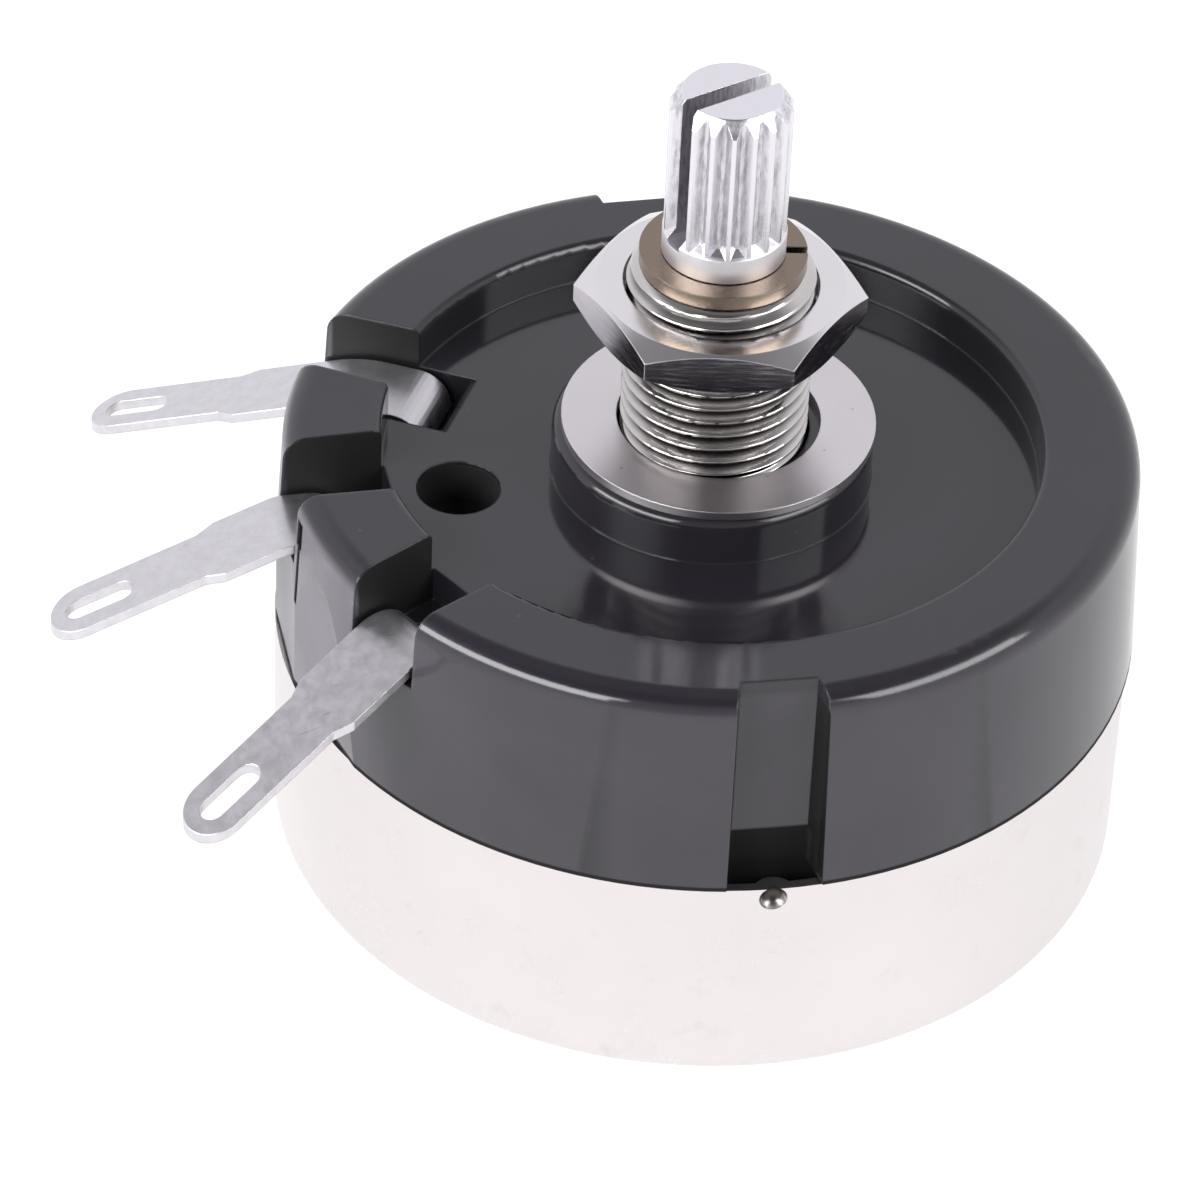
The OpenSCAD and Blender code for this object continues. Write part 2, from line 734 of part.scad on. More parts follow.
// Button that runs on the inside of the winding
module contact_brush() {
    nose = winding_in_d / 2 - 0.1 - tab_r;
    color([0.25, 0.24, 0.24])
        translate([tab_r, 0, arm_z + brush_lift])
            rotate([0, 90, 0]) {
                translate([0, 0, seat_gap]) cylinder(d = brush_d, h = nose - seat_gap);
                translate([0, 0, -spring_t - 0.3]) cylinder(d = brush_d / 2, h = spring_t + 0.3 + seat_gap);
            }
}

// Ring spring on the hub whose two raised contacts run on the collector ring
module contact_spring() {
    color([0.74, 0.60, 0.32])
        difference() {
            union() {
                translate([0, 0, hub_top]) ring(hub_d - 0.4, flange_d - 1.4, spring_t);
                for (s = [-1, 1])
                    translate([0, s * (hub_d / 2 - 0.9), hub_top])
                        cylinder(d = 1.2, h = collector_z - hub_top - run_gap);
            }
            for (x = rivet_places)
                translate([x, 0, hub_top - over]) cylinder(r = rivet_r + seat_gap, h = spring_t + 2 * over);
        }
}

// Two rivets through arm, hub and spring
module rotor_rivets() {
    head_h = 0.4;
    color([0.78, 0.66, 0.40])
        for (x = rivet_places)
            translate([x, 0, 0]) {
                translate([0, 0, arm_z - head_h]) cylinder(r = rivet_head_r, h = head_h);
                translate([0, 0, arm_z - seat_gap]) cylinder(r = rivet_r, h = hub_top + spring_t - arm_z + 2 * seat_gap);
                translate([0, 0, hub_top + spring_t]) cylinder(r = rivet_head_r, h = head_h);
            }
}

// Flat collector ring under the floor, its tail reaching the wiper lug's leg
module collector_ring() {
    color([0.78, 0.66, 0.40])
        translate([0, 0, collector_z]) {
            difference() {
                union() {
                    cylinder(d = hub_d + 0.6, h = collector_t);
                    translate([-short_leg_r + run_gap, -1.5, 0]) cube([short_leg_r - run_gap, 3, collector_t]);
                }
                translate([0, 0, -over]) cylinder(d = flange_d + 0.6, h = collector_t + 2 * over);
            }
        }
}

// Height of the winding's lower edge, the winding reaching up to just under the roof
function winding_z() = roof_z - 0.75 - winding_h;

// Insulating strip under the winding and the clamps
module element_former() {
    color([0.62, 0.48, 0.30])
        ring_arc(winding_in_d / 2 + wire_t + seat_gap, winding_out_d / 2 - wire_t - seat_gap,
            winding_z() + wire_t + seat_gap, winding_h - 2 * (wire_t + seat_gap),
            winding_arc + 2 * clamp_arc + 2, 0);
}

// A sleeve that wraps the former all round, over the stretch of arc centred on the angle a
module sleeve(arc, a) {
    difference() {
        ring_arc(winding_in_d / 2, winding_out_d / 2, winding_z(), winding_h, arc, a);
        ring_arc(winding_in_d / 2 + wire_t, winding_out_d / 2 - wire_t,
            winding_z() + wire_t, winding_h - 2 * wire_t, arc + 4, a);
    }
}

module resistance_winding() {
    color([0.55, 0.50, 0.46]) sleeve(winding_arc, 0);
}

// Clamps on the former's ends
module end_clamp_back() {
    color([0.78, 0.66, 0.40]) sleeve(clamp_arc, winding_arc / 2 + 0.5 + clamp_arc / 2);
}

module end_clamp_front() {
    color([0.78, 0.66, 0.40]) sleeve(clamp_arc, -winding_arc / 2 - 0.5 - clamp_arc / 2);
}

// Fibre disc on the can's floor
module insulating_disc() {
    color([0.55, 0.45, 0.33])
        translate([0, 0, can_t + seat_gap]) cylinder(d = can_d - 2 * can_corner_r - 1, h = 0.5);
}

front_body();
rear_can();
threaded_bush();
flat_washer();
hex_nut();
shaft();
retaining_clip();
end_lug_back();
wiper_lug();
end_lug_front();
thrust_washer();
rotor_hub();
wiper_arm();
contact_brush();
contact_spring();
rotor_rivets();
collector_ring();
element_former();
resistance_winding();
end_clamp_back();
end_clamp_front();
insulating_disc();
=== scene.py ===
import math

import bmesh
import bpy
from mathutils import Matrix, Vector


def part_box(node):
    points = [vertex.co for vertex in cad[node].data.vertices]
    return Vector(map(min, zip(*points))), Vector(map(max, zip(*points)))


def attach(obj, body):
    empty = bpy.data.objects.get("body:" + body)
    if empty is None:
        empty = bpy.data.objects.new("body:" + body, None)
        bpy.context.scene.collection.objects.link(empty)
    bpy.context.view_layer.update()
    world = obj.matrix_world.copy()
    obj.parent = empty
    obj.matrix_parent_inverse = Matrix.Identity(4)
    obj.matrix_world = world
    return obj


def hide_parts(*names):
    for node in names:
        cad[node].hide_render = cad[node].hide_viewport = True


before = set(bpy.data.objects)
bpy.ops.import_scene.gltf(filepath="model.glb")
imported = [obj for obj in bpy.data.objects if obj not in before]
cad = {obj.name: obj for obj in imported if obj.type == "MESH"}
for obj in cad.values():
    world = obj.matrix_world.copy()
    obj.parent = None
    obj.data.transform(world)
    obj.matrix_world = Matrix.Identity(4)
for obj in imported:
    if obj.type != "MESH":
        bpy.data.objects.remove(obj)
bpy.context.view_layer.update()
scene = bpy.context.scene
scene.view_settings.view_transform = "Standard"

# Camera
# Stands in front of the part, a little to the left of the two crimp slots' line, and looks down at it
# from the height that the ellipses of the rim give. A long lens from about 30 cm, as for a catalogue.
camera_height = math.radians(39.05)
camera_side = math.radians(13.2)
camera_roll = math.radians(2.69)
camera_reach = 0.31508
looked_at = Vector((-0.004980, 0.001168, 0.012070))

ahead = Vector((math.cos(camera_height) * math.sin(camera_side),
                math.cos(camera_height) * math.cos(camera_side),
                -math.sin(camera_height)))
level = Vector((math.cos(camera_side), -math.sin(camera_side), 0))
upright = level.cross(ahead)
across = level * math.cos(camera_roll) + upright * math.sin(camera_roll)
upward = upright * math.cos(camera_roll) - level * math.sin(camera_roll)
lens = bpy.data.cameras.new("studio_camera")
lens.lens = 188.87
lens.sensor_width = 36
lens.clip_start = 0.01
lens.clip_end = 20
camera = bpy.data.objects.new("studio_camera", lens)
scene.collection.objects.link(camera)
stand = looked_at - ahead * camera_reach
camera.matrix_world = Matrix((
    (across.x, upward.x, -ahead.x, stand.x),
    (across.y, upward.y, -ahead.y, stand.y),
    (across.z, upward.z, -ahead.z, stand.z),
    (0, 0, 0, 1)))
scene.camera = camera


# Studio
# White table and white surround with two soft boxes, one at each side of the front. The table is lit so
# that it shows white round the part and keeps only a soft shadow where the can stands.
def tone(code):
    """Linear colour of an sRGB hex code."""
    steps = [int(code[i:i + 2], 16) / 255 for i in (0, 2, 4)]
    return tuple(v / 12.92 if v <= 0.04045 else ((v + 0.055) / 1.055) ** 2.4 for v in steps) + (1.0,)


def put(tree, kind, sockets=None, **settings):
    """Adds a node with its settings, and sets or links its inputs."""
    made = tree.nodes.new(kind)
    for name, value in settings.items():
        setattr(made, name, value)
    for name, value in (sockets or {}).items():
        socket = made.inputs[name]
        if isinstance(value, bpy.types.NodeSocket):
            tree.links.new(value, socket)
        else:
            socket.default_value = value
    return made


table_r = 1.6
table_z = -0.00005
table_mesh = bpy.data.meshes.new("white_table")
top = bmesh.new()
bmesh.ops.create_circle(top, cap_ends=True, segments=96, radius=table_r,
                        matrix=Matrix.Translation((0, 0, table_z)))
top.to_mesh(table_mesh)
top.free()
table = bpy.data.objects.new("white_table", table_mesh)
scene.collection.objects.link(table)

paper = bpy.data.materials.new("white_table_paper")
paper.use_nodes = True
tree = paper.node_tree
tree.nodes.clear()
# Near the part the paper keeps some of its shadow, and from 0.4 m out it is seen as plain white
ray = put(tree, "ShaderNodeLightPath")
seen = put(tree, "ShaderNodeMath", {0: ray.outputs["Is Camera Ray"], 1: ray.outputs["Is Glossy Ray"]},
           operation="ADD", use_clamp=True)
seen = put(tree, "ShaderNodeMath", {0: seen.outputs[0], 1: ray.outputs["Is Transmission Ray"]},
           operation="ADD", use_clamp=True)
away = put(tree, "ShaderNodeVectorMath", {0: put(tree, "ShaderNodeTexCoord").outputs["Object"]},
           operation="LENGTH").outputs["Value"]
shown = put(tree, "ShaderNodeMapRange", {"Value": away, "From Min": 0.150, "From Max": 0.400,
                                         "To Min": 0.62, "To Max": 1.0})
share = put(tree, "ShaderNodeMath", {0: seen.outputs[0], 1: shown.outputs[0]}, operation="MULTIPLY")
matt = put(tree, "ShaderNodeBsdfDiffuse", {"Color": tone("f4f4f4")})
# Within 6 cm of the part the paper glows brighter, fading out by 13 cm: a painted pool of light
glow_strength = put(tree, "ShaderNodeMapRange", {"Value": away, "From Min": 0.060, "From Max": 0.130,
                                       "To Min": 1.25, "To Max": 1.09})
glow = put(tree, "ShaderNodeEmission", {"Color": (1, 1, 1, 1), "Strength": glow_strength.outputs[0]})
both = put(tree, "ShaderNodeMixShader", {0: share.outputs[0], 1: matt.outputs[0], 2: glow.outputs[0]})
put(tree, "ShaderNodeOutputMaterial", {"Surface": both.outputs[0]})
table_mesh.materials.append(paper)

# The surround is white to the eye. As a light it is brightest behind the part, dimmer overhead, and darkest
# in the room in front, which draws the dark bands in the polished rims.
surround = bpy.data.worlds.new("white_surround")
scene.world = surround
surround.use_nodes = True
tree = surround.node_tree
tree.nodes.clear()
ray = put(tree, "ShaderNodeLightPath")
place = put(tree, "ShaderNodeTexCoord")
lifted = put(tree, "ShaderNodeSeparateXYZ", {0: place.outputs["Generated"]})
overhead = put(tree, "ShaderNodeMapRange", {"Value": lifted.outputs[2], "From Min": 0.64, "From Max": 0.86,
                                            "To Min": 1.0, "To Max": 0.28}, interpolation_type="SMOOTHSTEP")
dim_room = Vector((-math.sin(camera_side), -math.cos(camera_side), 0.9)).normalized()
facing = put(tree, "ShaderNodeVectorMath", {0: place.outputs["Generated"], 1: dim_room},
             operation="DOT_PRODUCT")
in_front = put(tree, "ShaderNodeMapRange", {"Value": facing.outputs["Value"], "From Min": 0.58,
                                            "From Max": 0.94, "To Min": 1.0, "To Max": 0.31},
               interpolation_type="SMOOTHSTEP")
fall = put(tree, "ShaderNodeMath", {0: overhead.outputs[0], 1: in_front.outputs[0]}, operation="MULTIPLY")
room = put(tree, "ShaderNodeBackground", {"Color": tone("fbfaff"), "Strength": fall.outputs[0]})
plain = put(tree, "ShaderNodeBackground", {"Color": (1, 1, 1, 1), "Strength": 1.0})
both = put(tree, "ShaderNodeMixShader", {0: ray.outputs["Is Camera Ray"], 1: room.outputs[0],
                                         2: plain.outputs[0]})
put(tree, "ShaderNodeOutputWorld", {"Surface": both.outputs[0]})

# Angles in degrees round the part from its front, to the right, and up. Both boxes stand 0.75 m away.
lamp_reach = 0.75
for name, side, height, wide, tall, watts in (
        ("soft_box_left", -65.8, 30, 0.78, 0.27, 5.9),
        ("soft_box_right", 51.2, 33, 0.56, 0.28, 2.95)):
    box = bpy.data.lights.new(name, "AREA")
    box.shape = "RECTANGLE"
    box.size, box.size_y, box.energy = wide, tall, watts
    lamp = bpy.data.objects.new(name, box)
    scene.collection.objects.link(lamp)
    turn, lift = math.radians(side), math.radians(height)
    out = Vector((math.sin(turn) * math.cos(lift), -math.cos(turn) * math.cos(lift), math.sin(lift)))
    lamp.location = out * lamp_reach
    lamp.rotation_mode = "QUATERNION"
    lamp.rotation_quaternion = out.to_track_quat("Z", "Y")


# Moulded body
# One compression moulding of black phenolic with the dish, the boss and the terminal notches. The dish's
# floor comes off a polished part of the tool and mirrors the boss, and the gloss of the rest varies a little
# with the flow of the moulding.
def finish_of(name):
    """A new material with empty nodes and the object's own coordinates."""
    made = bpy.data.materials.new(name)
    made.use_nodes = True
    made.node_tree.nodes.clear()
    return made, made.node_tree, put(made.node_tree, "ShaderNodeTexCoord").outputs["Object"]


def dress(names, made):
    """Gives CAD pieces their material."""
    for name in names:
        cad[name].data.materials.clear()
        cad[name].data.materials.append(made)


# Places on the moulding, in metres: its outer side, the dish, the crimp slots, the notches and the hole.
# Each finish below ends at one of them and fades over a small width there.
side_r = 0.0207
dish_r = 0.0160
dish_z = 0.0211
rim_z = 0.02308
body_foot_z = 0.01226
slot_y = 0.0189
slot_back_r = 0.0198
slot_top_z = 0.0222
slot_foot_z = 0.01405
notch_x = -0.0120
hole_centre = (-0.0126, 0, 0)
hole_r = 0.0021
hole_top_z = 0.0207

phenolic, tree, place = finish_of("black_phenolic_moulded")
apart = put(tree, "ShaderNodeSeparateXYZ", {0: place})
# Distance from the shaft's axis, seen from above
flat = put(tree, "ShaderNodeVectorMath", {0: place, 1: (1, 1, 0)}, operation="MULTIPLY")
reach = put(tree, "ShaderNodeVectorMath", {0: flat.outputs[0]}, operation="LENGTH").outputs["Value"]
side_on = put(tree, "ShaderNodeSeparateXYZ", {0: put(tree, "ShaderNodeNewGeometry").outputs["Normal"]})
in_dish = put(tree, "ShaderNodeMapRange", {"Value": reach, "From Min": dish_r + 0.00015, "From Max": dish_r})
low = put(tree, "ShaderNodeMapRange", {"Value": apart.outputs[2], "From Min": dish_z + 0.0002,
                                       "From Max": dish_z})
dish = put(tree, "ShaderNodeMath", {0: in_dish.outputs[0], 1: low.outputs[0]}, operation="MULTIPLY")
outer = put(tree, "ShaderNodeMapRange", {"Value": reach, "From Min": side_r, "From Max": side_r + 0.0002})
# Flow marks of the moulding, some 6 mm long, a faint grain of 0.2 mm, and a few motes of dust
flow = put(tree, "ShaderNodeTexNoise", {"Vector": place, "Scale": 170.0, "Detail": 3.0, "Roughness": 0.5,
                                        "Distortion": 0.6})
grain = put(tree, "ShaderNodeTexNoise", {"Vector": place, "Scale": 5200.0, "Detail": 2.0})
dust = put(tree, "ShaderNodeTexVoronoi", {"Vector": place, "Scale": 330.0, "Randomness": 1.0})
mote = put(tree, "ShaderNodeMapRange", {"Value": dust.outputs["Distance"], "From Min": 0.040,
                                        "From Max": 0.020, "To Min": 0.0, "To Max": 0.22})
# The flat faces beside the lugs are dull, and tinted pale for dust and for a painted sheen where they catch
# the light
left_facing = put(tree, "ShaderNodeMapRange", {"Value": side_on.outputs[0], "From Min": -0.82, "From Max": -0.96})
patchiness = put(tree, "ShaderNodeMapRange", {"Value": flow.outputs["Fac"], "From Min": 0.3, "From Max": 0.7,
                                        "To Min": 0.45, "To Max": 0.85})
dust_and_sheen = put(tree, "ShaderNodeMath", {0: left_facing.outputs[0], 1: outer.outputs[0]}, operation="MULTIPLY")
dust_and_sheen = put(tree, "ShaderNodeMath", {0: dust_and_sheen.outputs[0], 1: patchiness.outputs[0]}, operation="MULTIPLY")
# The side and the backs of the crimp slots are tinted lighter, for a thin haze from handling and for a
# painted sheen
across_slot = put(tree, "ShaderNodeMath", {0: apart.outputs[1]}, operation="ABSOLUTE")
near_slot = put(tree, "ShaderNodeMapRange", {"Value": across_slot.outputs[0], "From Min": slot_y,
                                             "From Max": slot_y + 0.0002})
under_rim = put(tree, "ShaderNodeMapRange", {"Value": apart.outputs[2], "From Min": slot_top_z + 0.0004,
                                             "From Max": slot_top_z})
in_slot = put(tree, "ShaderNodeMath", {0: near_slot.outputs[0], 1: under_rim.outputs[0]},
              operation="MULTIPLY")
sides = put(tree, "ShaderNodeMath", {0: outer.outputs[0], 1: in_slot.outputs[0]}, operation="MAXIMUM")
sheen_amount = put(tree, "ShaderNodeMapRange", {"Value": flow.outputs["Fac"], "From Min": 0.3, "From Max": 0.7,
                                           "To Min": 0.40, "To Max": 0.60})
clear = put(tree, "ShaderNodeMath", {0: 1.0, 1: dust_and_sheen.outputs[0]}, operation="SUBTRACT")
haze_and_sheen = put(tree, "ShaderNodeMath", {0: sheen_amount.outputs[0], 1: sides.outputs[0]}, operation="MULTIPLY")
haze_and_sheen = put(tree, "ShaderNodeMath", {0: haze_and_sheen.outputs[0], 1: clear.outputs[0]}, operation="MULTIPLY")
# At the foot of the side a dark line is painted, a painted contact shadow where the body meets the can
at_foot = put(tree, "ShaderNodeMapRange", {"Value": apart.outputs[2], "From Min": body_foot_z + 0.0001,
                                           "From Max": body_foot_z})
painted_foot_shadow = put(tree, "ShaderNodeMath", {0: at_foot.outputs[0], 1: outer.outputs[0]}, operation="MULTIPLY")
# At its own foot each crimp slot opens towards the dark inside, and a dull black patch there is painted shade
at_slot_foot = put(tree, "ShaderNodeMapRange", {"Value": apart.outputs[2], "From Min": slot_foot_z + 0.00015,
                                                "From Max": slot_foot_z})
back_wall = put(tree, "ShaderNodeMapRange", {"Value": reach, "From Min": slot_back_r + 0.0002,
                                             "From Max": slot_back_r})
painted_slot_shade = put(tree, "ShaderNodeMath", {0: at_slot_foot.outputs[0], 1: back_wall.outputs[0]},
                operation="MULTIPLY")
# The slots' ramps and the walls of the terminal notches are painted near black and dull, painted shade in
# these recesses
turned_x = put(tree, "ShaderNodeMath", {0: side_on.outputs[0]}, operation="ABSOLUTE")
turned_y = put(tree, "ShaderNodeMath", {0: side_on.outputs[1]}, operation="ABSOLUTE")
sloping = put(tree, "ShaderNodeMapRange", {"Value": turned_x.outputs[0], "From Min": 0.40, "From Max": 0.50})
ramp = put(tree, "ShaderNodeMath", {0: sloping.outputs[0], 1: in_slot.outputs[0]}, operation="MULTIPLY")
upright_wall = put(tree, "ShaderNodeMapRange", {"Value": turned_y.outputs[0], "From Min": 0.70,
                                                "From Max": 0.80})
lug_side = put(tree, "ShaderNodeMapRange", {"Value": apart.outputs[0], "From Min": notch_x,
                                            "From Max": notch_x - 0.0005})
inner = put(tree, "ShaderNodeMath", {0: 1.0, 1: outer.outputs[0]}, operation="SUBTRACT")
top_edge = put(tree, "ShaderNodeMapRange", {"Value": apart.outputs[2], "From Min": rim_z + 0.00012,
                                            "From Max": rim_z})
notch = put(tree, "ShaderNodeMath", {0: upright_wall.outputs[0], 1: lug_side.outputs[0]},
            operation="MULTIPLY")
notch = put(tree, "ShaderNodeMath", {0: notch.outputs[0], 1: inner.outputs[0]}, operation="MULTIPLY")
notch = put(tree, "ShaderNodeMath", {0: notch.outputs[0], 1: top_edge.outputs[0]}, operation="MULTIPLY")
painted_recess_shade = put(tree, "ShaderNodeMath", {0: ramp.outputs[0], 1: notch.outputs[0]}, operation="MAXIMUM")
# The locating hole is rough and painted near black, painted shade in the hole
hole_axis = put(tree, "ShaderNodeVectorMath", {0: flat.outputs[0], 1: hole_centre}, operation="DISTANCE")
round_hole = put(tree, "ShaderNodeMapRange", {"Value": hole_axis.outputs["Value"],
                                              "From Min": hole_r + 0.00005, "From Max": hole_r})
sunk = put(tree, "ShaderNodeMapRange", {"Value": apart.outputs[2], "From Min": hole_top_z + 0.00025,
                                        "From Max": hole_top_z})
painted_hole_shade = put(tree, "ShaderNodeMath", {0: round_hole.outputs[0], 1: sunk.outputs[0]}, operation="MULTIPLY")
shade = put(tree, "ShaderNodeMix", {0: flow.outputs["Fac"], 6: tone("1f1d22"), 7: tone("26242a")},
            data_type="RGBA")
for share, colour in ((mote, "5a585c"), (dust_and_sheen, "7f7c84"), (haze_and_sheen, "3d3a41"), (painted_foot_shadow, "020202"),
                      (painted_slot_shade, "050505"), (painted_recess_shade, "060607"), (painted_hole_shade, "060607")):
    shade = put(tree, "ShaderNodeMix", {0: share.outputs[0], 6: shade.outputs[2], 7: tone(colour)},
                data_type="RGBA")
rough_part = put(tree, "ShaderNodeMath", {0: painted_slot_shade.outputs[0], 1: painted_foot_shadow.outputs[0]}, operation="MAXIMUM")
rough_part = put(tree, "ShaderNodeMath", {0: rough_part.outputs[0], 1: painted_hole_shade.outputs[0]},
                 operation="MAXIMUM")
gloss = put(tree, "ShaderNodeMapRange", {"Value": flow.outputs["Fac"], "To Min": 0.08, "To Max": 0.13})
for share, dullness in ((dish, 0.10), (painted_recess_shade, 0.6), (dust_and_sheen, 0.42), (rough_part, 1.0)):
    gloss = put(tree, "ShaderNodeMix", {0: share.outputs[0], 2: gloss.outputs[0], 3: dullness},
                data_type="FLOAT")
soft_edge = put(tree, "ShaderNodeBevel", {"Radius": 0.00018}, samples=4)
skin = put(tree, "ShaderNodeBump", {"Height": grain.outputs["Fac"], "Distance": 0.0000012, "Strength": 0.6,
                                    "Normal": soft_edge.outputs[0]})
plastic = put(tree, "ShaderNodeBsdfPrincipled", {
    "Base Color": shade.outputs[2], "Roughness": gloss.outputs[0], "IOR": 1.55, "Normal": skin.outputs[0]})
put(tree, "ShaderNodeOutputMaterial", {"Surface": plastic.outputs[0]})
dress(["front_body"], phenolic)


# Rear can
# Drawn from steel strip and barrel-plated with nickel, so it is a pale satin metal with faint upright draw
# marks. The rim is pressed into the body's slots, and handling has left a few faint stains.
def metal_skin(tree, colour, satin, relief):
    """Ends a material as bare or plated metal."""
    metal = put(tree, "ShaderNodeBsdfPrincipled", {
        "Base Color": colour.outputs[2], "Metallic": 1.0, "Roughness": satin.outputs[0],
        "Normal": relief.outputs[0]})
    put(tree, "ShaderNodeOutputMaterial", {"Surface": metal.outputs[0]})


# Each dent lies on the can's side below a crimp slot, at an angle in degrees round from the right
dent_angles = (-93, 89)
dent_r = 0.0213
dent_z = 0.01135
dent_size = 0.00056

nickel_satin, tree, place = finish_of("satin_nickel_on_drawn_steel")
# Draw marks 0.4 mm apart and drawn out upwards, clouds of 8 mm in the plating, and stains of 2 mm
stretch = put(tree, "ShaderNodeMapping", {"Vector": place, "Scale": (1.0, 1.0, 0.06)})
draw = put(tree, "ShaderNodeTexNoise", {"Vector": stretch.outputs[0], "Scale": 2600.0, "Detail": 4.0})
cloud = put(tree, "ShaderNodeTexNoise", {"Vector": place, "Scale": 130.0, "Detail": 5.0, "Roughness": 0.6})
stain = put(tree, "ShaderNodeTexNoise", {"Vector": place, "Scale": 420.0, "Detail": 4.0, "Roughness": 0.65})
patch = put(tree, "ShaderNodeMapRange", {"Value": stain.outputs["Fac"], "From Min": 0.60, "From Max": 0.74,
                                         "To Min": 0.0, "To Max": 0.30})
metal = put(tree, "ShaderNodeMix", {0: cloud.outputs["Fac"], 6: tone("dad4d4"), 7: tone("e4dfdf")},
            data_type="RGBA")
metal = put(tree, "ShaderNodeMix", {0: patch.outputs[0], 6: metal.outputs[2], 7: tone("c8bfb4")},
            data_type="RGBA")
# Each dent is painted darker, painted shade in the dimple
for angle in dent_angles:
    dent = Vector((math.cos(math.radians(angle)), math.sin(math.radians(angle)), 0)) * dent_r
    dent.z = dent_z
    away = put(tree, "ShaderNodeVectorMath", {0: place, 1: dent}, operation="DISTANCE").outputs["Value"]
    dent_shade = put(tree, "ShaderNodeMapRange", {"Value": away, "From Min": dent_size + 0.0001,
                                              "From Max": dent_size})
    metal = put(tree, "ShaderNodeMix", {0: dent_shade.outputs[0], 6: metal.outputs[2], 7: tone("4c4947")},
                data_type="RGBA")
satin = put(tree, "ShaderNodeMapRange", {"Value": cloud.outputs["Fac"], "From Min": 0.3, "From Max": 0.7,
                                         "To Min": 0.24, "To Max": 0.36})
marks = put(tree, "ShaderNodeBump", {"Height": draw.outputs["Fac"], "Distance": 0.0000016, "Strength": 0.7})
metal_skin(tree, metal, satin, marks)
dress(["rear_can"], nickel_satin)


# Threaded bush
# Turned from brass rod, threaded at 0.79 mm pitch and nickel plated bright, with a rounded and polished
# end. It is moulded into the body by its flange, and the thread is cut up to the rounded end.
bush_low, bush_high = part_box("threaded_bush")
washer_low, washer_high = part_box("flat_washer")
thread_r = 0.0046
thread_pitch = 0.00079
thread_depth = 0.00050
bore_r = 0.00303
bore_edge = 0.0002
crown_r = 0.0009
crown_steps = 12
flange_r = (bush_high.x - bush_low.x) / 2
flange_t = 0.0012
flange_top = bush_low.z + flange_t
# The thread starts a little under the washer, where its first turn fades in out of sight
thread_from = washer_low.z - 0.0003
thread_fade = 0.0006
crown_z = bush_high.z - crown_r
thread_to = crown_z + math.sqrt(2 * crown_r * thread_depth - thread_depth ** 2)
crown_from = math.asin((thread_to - crown_z) / crown_r)
rim_steps = 120
height_steps = 300
touching = 0.000002

outline = [(bore_r, bush_low.z), (flange_r, bush_low.z), (flange_r, flange_top), (thread_r, flange_top),
           (thread_r, thread_from)]
inner_side = []
for i in range(crown_steps + 1):
    a = crown_from + (math.pi / 2 - crown_from) * i / crown_steps
    inner_side.append((thread_r - crown_r + crown_r * math.cos(a), crown_z + crown_r * math.sin(a)))
inner_side += [(bore_r + bore_edge, bush_high.z), (bore_r, bush_high.z - bore_edge), (bore_r, bush_low.z)]


def turned(mesh, profile):
    """Adds a surface of revolution to a mesh from radius and height pairs."""
    turns = [math.tau * i / rim_steps for i in range(rim_steps)]
    rings = [[mesh.verts.new((r * math.cos(a), r * math.sin(a), z)) for a in turns] for r, z in profile]
    for low_ring, high_ring in zip(rings, rings[1:]):
        for i in range(rim_steps):
            j = (i + 1) % rim_steps
            mesh.faces.new((low_ring[i], low_ring[j], high_ring[j], high_ring[i]))


shell = bmesh.new()
turned(shell, outline)
turned(shell, inner_side)
bush_mesh = bpy.data.meshes.new("bush_blank")
shell.to_mesh(bush_mesh)
shell.free()
blank = bpy.data.objects.new("bush_blank", bush_mesh)
scene.collection.objects.link(blank)

# The thread is a sheet of points rolled round the bush. Its radius falls by the depth of a groove that climbs
# one pitch in a turn. The groove fades out below, and above it runs out through the rounded end.
cutting = bpy.data.node_groups.new("cut_thread", "GeometryNodeTree")
face = cutting.interface
face.new_socket("Geometry", in_out="INPUT", socket_type="NodeSocketGeometry")
for name, value in (("Radius", thread_r), ("Pitch", thread_pitch), ("Depth", thread_depth),
                    ("Start", thread_from), ("End", thread_to), ("Fade", thread_fade),
                    ("Crown", crown_r), ("Crown Start", crown_z)):
    face.new_socket(name, in_out="INPUT", socket_type="NodeSocketFloat").default_value = value
face.new_socket("Finish", in_out="INPUT", socket_type="NodeSocketMaterial")
face.new_socket("Geometry", in_out="OUTPUT", socket_type="NodeSocketGeometry")
given = put(cutting, "NodeGroupInput").outputs

# Each point of the sheet knows its turn round the bush and its height
sheet = put(cutting, "GeometryNodeMeshGrid", {"Size X": 1.0, "Size Y": 1.0, "Vertices X": rim_steps + 1,
                                              "Vertices Y": height_steps})
point = put(cutting, "ShaderNodeSeparateXYZ", {0: put(cutting, "GeometryNodeInputPosition").outputs[0]})
turn = put(cutting, "ShaderNodeMath", {0: point.outputs[0], 1: 0.5}, operation="ADD")
rise = put(cutting, "ShaderNodeMath", {0: point.outputs[1], 1: 0.5}, operation="ADD")
length = put(cutting, "ShaderNodeMath", {0: given["End"], 1: given["Start"]}, operation="SUBTRACT")
height = put(cutting, "ShaderNodeMath", {0: rise.outputs[0], 1: length.outputs[0], 2: given["Start"]},
             operation="MULTIPLY_ADD")
